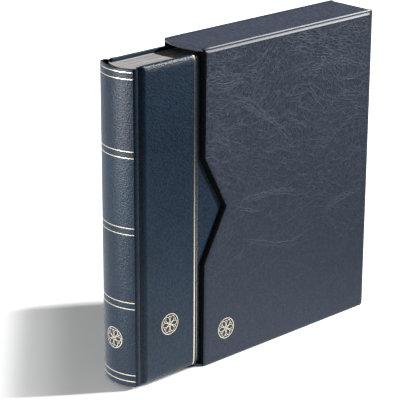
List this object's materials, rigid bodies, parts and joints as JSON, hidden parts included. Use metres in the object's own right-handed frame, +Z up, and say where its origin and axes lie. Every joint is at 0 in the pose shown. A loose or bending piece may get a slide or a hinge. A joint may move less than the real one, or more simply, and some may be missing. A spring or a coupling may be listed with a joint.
{
  "type": "stamp album with slipcase",
  "caption": "Padded leatherette stamp stockbook with a rounded hollow spine and pocket leaves, which slides in a matching slipcase with thumb notches.",
  "frame": {"origin": "middle of the slipcase's base, on the surface it stands on, midway between its straight mouth edge and its rear", "axes": "+Z up; -X out of the slipcase's mouth, the way the album's spine points; -Y towards the front cover"},
  "size_m": [0.3178, 0.0556, 0.316],
  "materials": {
    "slipcase_leatherette": "slate navy leatherette, fine grain with light creases, satin",
    "slipcase_strip": "slate navy leatherette, smooth, satin",
    "album_leatherette": "dark navy leatherette, fine pebble grain, satin",
    "padding": "soft foam under the leatherette, matte",
    "slipcase_lining": "black lining paper, matte",
    "greyboard": "grey bookbinder's board, matte",
    "endpaper": "off-white endpaper, matte",
    "back_lining": "mull cloth, matte",
    "band_cloth": "woven band, pale, matte",
    "linen": "linen tape, matte",
    "page_card": "pale grey-white card, matte",
    "pocket_film": "clear film, glossy",
    "glassine": "translucent glassine, smooth"
  },
  "bodies": {
    "slipcase": {"slipcase_front_board": "greyboard", "slipcase_back_board": "greyboard", "slipcase_top_board": "greyboard", "slipcase_bottom_board": "greyboard", "slipcase_rear_board": "greyboard", "slipcase_front_padding": "padding", "slipcase_back_padding": "padding", "slipcase_front_leatherette": "slipcase_leatherette", "slipcase_back_leatherette": "slipcase_leatherette", "slipcase_edge_strip": "slipcase_strip", "slipcase_front_lining": "slipcase_lining", "slipcase_back_lining": "slipcase_lining", "slipcase_top_lining": "slipcase_lining", "slipcase_bottom_lining": "slipcase_lining", "slipcase_rear_lining": "slipcase_lining"},
    "album": {"front_cover_board": "greyboard", "back_cover_board": "greyboard", "spine_board": "greyboard", "front_cover_padding": "padding", "back_cover_padding": "padding", "cover_leatherette": "album_leatherette", "front_endpaper": "endpaper", "back_endpaper": "endpaper", "spine_lining": "back_lining", "head_band": "band_cloth", "tail_band": "band_cloth", "linen_hinges": "linen", "pocket_strips": "pocket_film", "glassine_interleaves": "glassine", "leaf_01": "page_card", "leaf_02": "page_card", "leaf_03": "page_card", "leaf_04": "page_card", "leaf_05": "page_card", "leaf_06": "page_card", "leaf_07": "page_card", "leaf_08": "page_card", "leaf_09": "page_card", "leaf_10": "page_card", "leaf_11": "page_card", "leaf_12": "page_card", "leaf_13": "page_card", "leaf_14": "page_card", "leaf_15": "page_card", "leaf_16": "page_card", "leaf_17": "page_card", "leaf_18": "page_card", "leaf_19": "page_card", "leaf_20": "page_card", "leaf_21": "page_card", "leaf_22": "page_card", "leaf_23": "page_card", "leaf_24": "page_card", "leaf_25": "page_card", "leaf_26": "page_card", "leaf_27": "page_card", "leaf_28": "page_card", "leaf_29": "page_card", "leaf_30": "page_card"}
  },
  "joints": [
    {"name": "album_slide", "type": "slide", "parent": "slipcase", "child": "album", "axis": [1, 0, 0], "range_m": [-0.155, 0.0815]}
  ]
}
